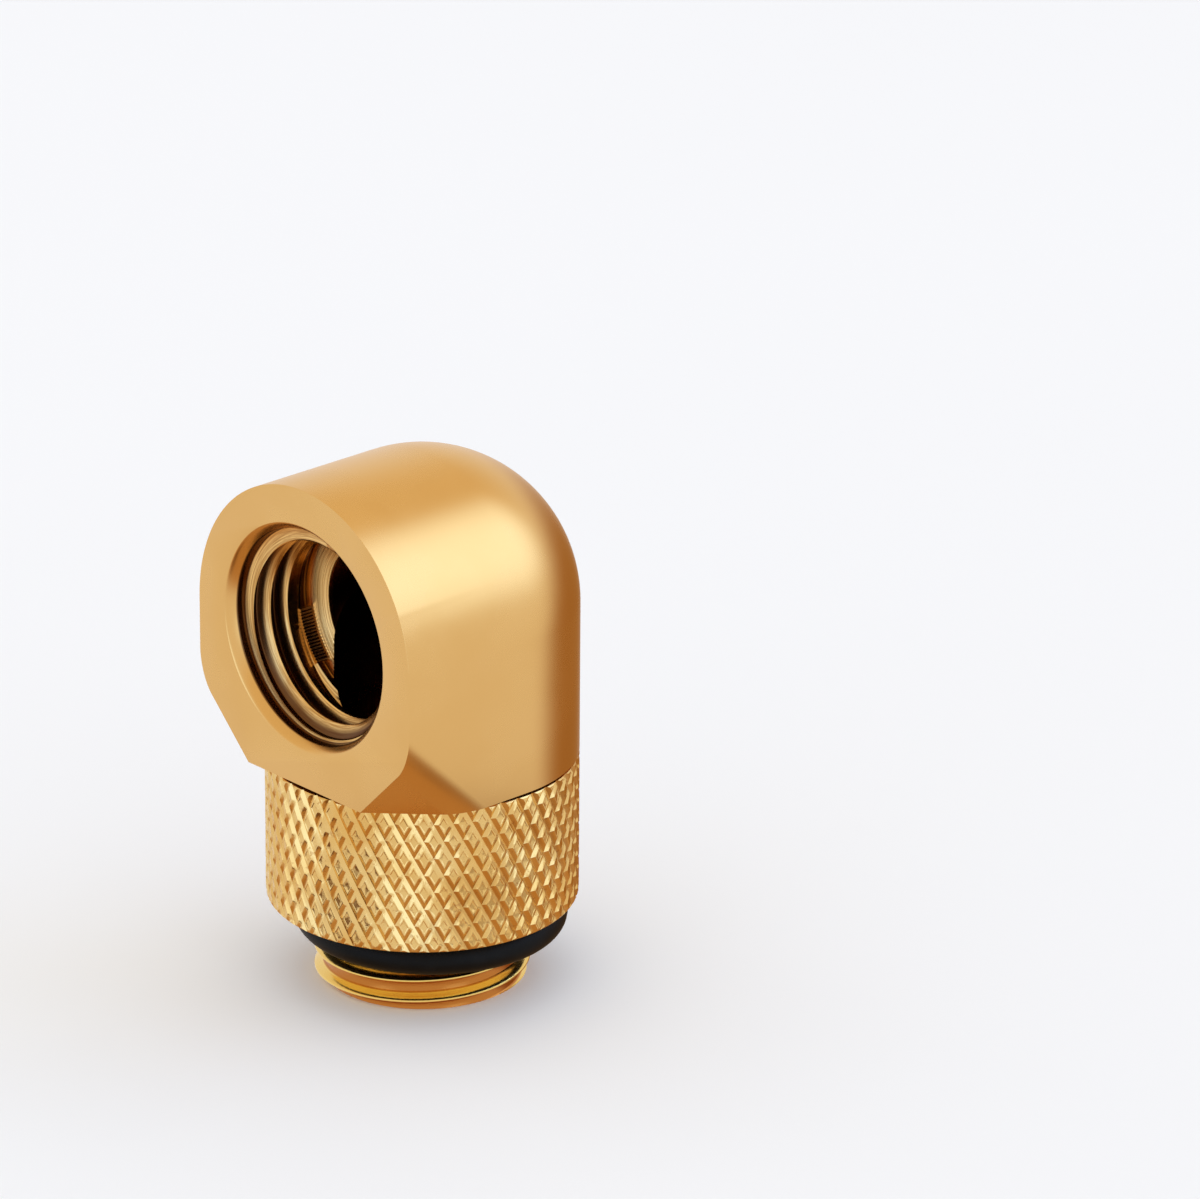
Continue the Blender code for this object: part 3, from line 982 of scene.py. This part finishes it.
def add_reflected_shade_sheets():
    """Two glowing brown sheets on the table, seen only in the metal: a painted reflection of shade
    that darkens two strips of the knurl.
    """
    material = bpy.data.materials.new("painted reflected shade")
    material.use_nodes = True
    material.node_tree.nodes.clear()
    graph = Graph(material.node_tree)
    x, y, _ = graph.axes(graph.node("ShaderNodeTexCoord")["Object"])
    distance = (x * x + y * y).math("SQRT")
    bearing = y.math("ARCTAN2", x) * (180 / math.pi)
    cover = distance.step(19 * MM, 23 * MM) * distance.step(36 * MM, 27 * MM)
    right = bearing.step(-26, -12) * bearing.step(50, 34)
    left = bearing.step(-112, -102) * bearing.step(-70, -80)
    cover = cover * (right * 0.45 + left).math("MINIMUM", 1.0)
    # The sheets glow a dark brown: painted shade seen only in reflections
    glow = graph.node("ShaderNodeEmission", values={"Color": (0.15, 0.06, 0.016, 1)})["Emission"]
    clear = graph.node("ShaderNodeBsdfTransparent")["BSDF"]
    surface = graph.node("ShaderNodeMixShader", values={0: cover, 1: clear, 2: glow})["Shader"]
    graph.node("ShaderNodeOutputMaterial", values={"Surface": surface})
    mesh = bpy.data.meshes.new("reflected_shade_sheets")
    reach = 50 * MM
    corners = [(-reach, -reach, 0), (reach, -reach, 0), (reach, reach, 0), (-reach, reach, 0)]
    mesh.from_pydata([(cx, cy, 0.05 * MM) for cx, cy, _ in corners], [], [(0, 1, 2, 3)])
    mesh.materials.append(material)
    reflected_shade_sheets = new_object("reflected_shade_sheets", mesh)
    reflected_shade_sheets.visible_camera = False
    reflected_shade_sheets.visible_diffuse = False
    reflected_shade_sheets.visible_shadow = False
    reflected_shade_sheets.visible_transmission = False


def toward(azimuth, elevation):
    """A direction: azimuth counts from +X towards +Y, both in degrees."""
    azimuth, elevation = math.radians(azimuth), math.radians(elevation)
    level = math.cos(elevation)
    return Vector((math.cos(azimuth) * level, math.sin(azimuth) * level, math.sin(elevation)))


def add_tent():
    """A pale tent of light, warm overhead and below, with three soft boxes and a dark back."""
    world = bpy.data.worlds.new("tent")
    world.use_nodes = True
    world.node_tree.nodes.clear()
    graph = Graph(world.node_tree)
    direction = graph.node("ShaderNodeTexCoord")["Generated"]

    def lobe(azimuth, elevation, edge, core):
        """1 within core degrees of a direction, and 0 more than edge degrees away."""
        values = {0: direction, 1: toward(azimuth, elevation)}
        along = graph.node("ShaderNodeVectorMath", {"operation": "DOT_PRODUCT"}, values)["Value"]
        return along.step(math.cos(math.radians(edge)), math.cos(math.radians(core)))

    _, _, height = graph.axes(direction)
    color = graph.mix(height.step(0.3, 0.75), (0.90, 0.87, 0.86, 1), (0.84, 0.70, 0.50, 1))
    color = graph.mix(height.step(-0.52, -0.72), color, (0.56, 0.31, 0.13, 1))
    dark_back = (96, -20, 42, 16), (0.40, 0.19, 0.05, 1)
    high_box = (49, 36, 36, 8), (1.42, 1.75, 2.5, 1)
    front_box = (-88, 4, 24, 8), (1.25, 1.5, 2.0, 1)
    side_box = (-4, 2, 24, 8), (1.25, 1.5, 2.0, 1)
    for where, tint in (dark_back, high_box, front_box, side_box):
        color = graph.mix(lobe(*where), color, tint)
    path = graph.node("ShaderNodeLightPath")
    color = graph.mix(path["Is Diffuse Ray"], color, (1.06, 1.06, 1.06, 1))
    color = graph.mix(path["Is Camera Ray"], color, (0.94, 0.94, 0.94, 1))
    background = graph.node("ShaderNodeBackground", values={"Color": color})["Background"]
    graph.node("ShaderNodeOutputWorld", values={"Surface": background})
    bpy.context.scene.world = world


def add_camera():
    """A long lens from the front right, a little above; the adapter stands left of the middle."""
    azimuth, elevation, roll = math.radians(48.54), math.radians(22.13), math.radians(-0.1)
    distance = 500 * MM
    focal = 8349.0
    subject = Vector((-178.1, -0.6, -focal))
    right = Vector((math.cos(azimuth), math.sin(azimuth), 0))
    back = Vector(
        (
            math.sin(azimuth) * math.cos(elevation),
            -math.cos(azimuth) * math.cos(elevation),
            math.sin(elevation),
        )
    )
    up = back.cross(right)
    facing = Matrix((right, up, back)).transposed()
    aim = subject.rotation_difference(Vector((0, 0, -1)))
    data = bpy.data.cameras.new("camera")
    data.sensor_width = 36.0
    data.lens = focal * 36.0 / 1200
    data.clip_start = 0.01
    data.clip_end = 20.0
    camera = bpy.data.objects.new("camera", data)
    bpy.context.scene.collection.objects.link(camera)
    camera.location = Vector((0, 0, PORT_AXIS_Z)) + back * distance
    camera.rotation_mode = "QUATERNION"
    turn = facing.to_quaternion() @ Matrix.Rotation(roll, 3, "Z").to_quaternion() @ aim
    camera.rotation_quaternion = turn
    bpy.context.scene.camera = camera


def main():
    satin, polished, rubber = satin_gold(), polished_gold(), black_rubber()
    coil = coil_graph(polished)
    base = make_base(polished, coil)
    finish_piece(base, "knurled_base", polished, "base", "threaded_base", 22)
    finish_piece(make_elbow(coil), "gold_elbow", satin, "elbow", "elbow_body")

    # The ring under the collar sits a little off the middle and askew
    aside = math.radians(48.5)
    shift = Vector((math.cos(aside), math.sin(aside))) * 0.5 * MM
    outer_r, top = seal_high.x - 0.12 * MM, seal_high.z - 0.02 * MM
    seal = make_seal("port_ring", outer_r, 2.1 * MM, top, shift, math.radians(0.8), 0.012 * MM)
    finish_piece(seal, "port_ring", rubber, "base", "port_seal")
    for node, top in SPIGOT_SEAL_TOPS.items():
        seal = make_seal(node, SOCKET_R - FIT_GAP, 1 * MM, top, flash=0.008 * MM)
        finish_piece(seal, node.replace("seal", "ring"), rubber, "elbow", node)
    ring, washer = make_retaining_ring(), make_thrust_washer()
    finish_piece(ring, "split_ring", spring_steel(), "base", "retaining_ring")
    finish_piece(washer, "washer", natural_acetal(), "base", "thrust_washer")

    add_floor()
    add_reflected_shade_sheets()
    add_tent()
    add_camera()
    bpy.context.scene.view_settings.view_transform = "Standard"


main()
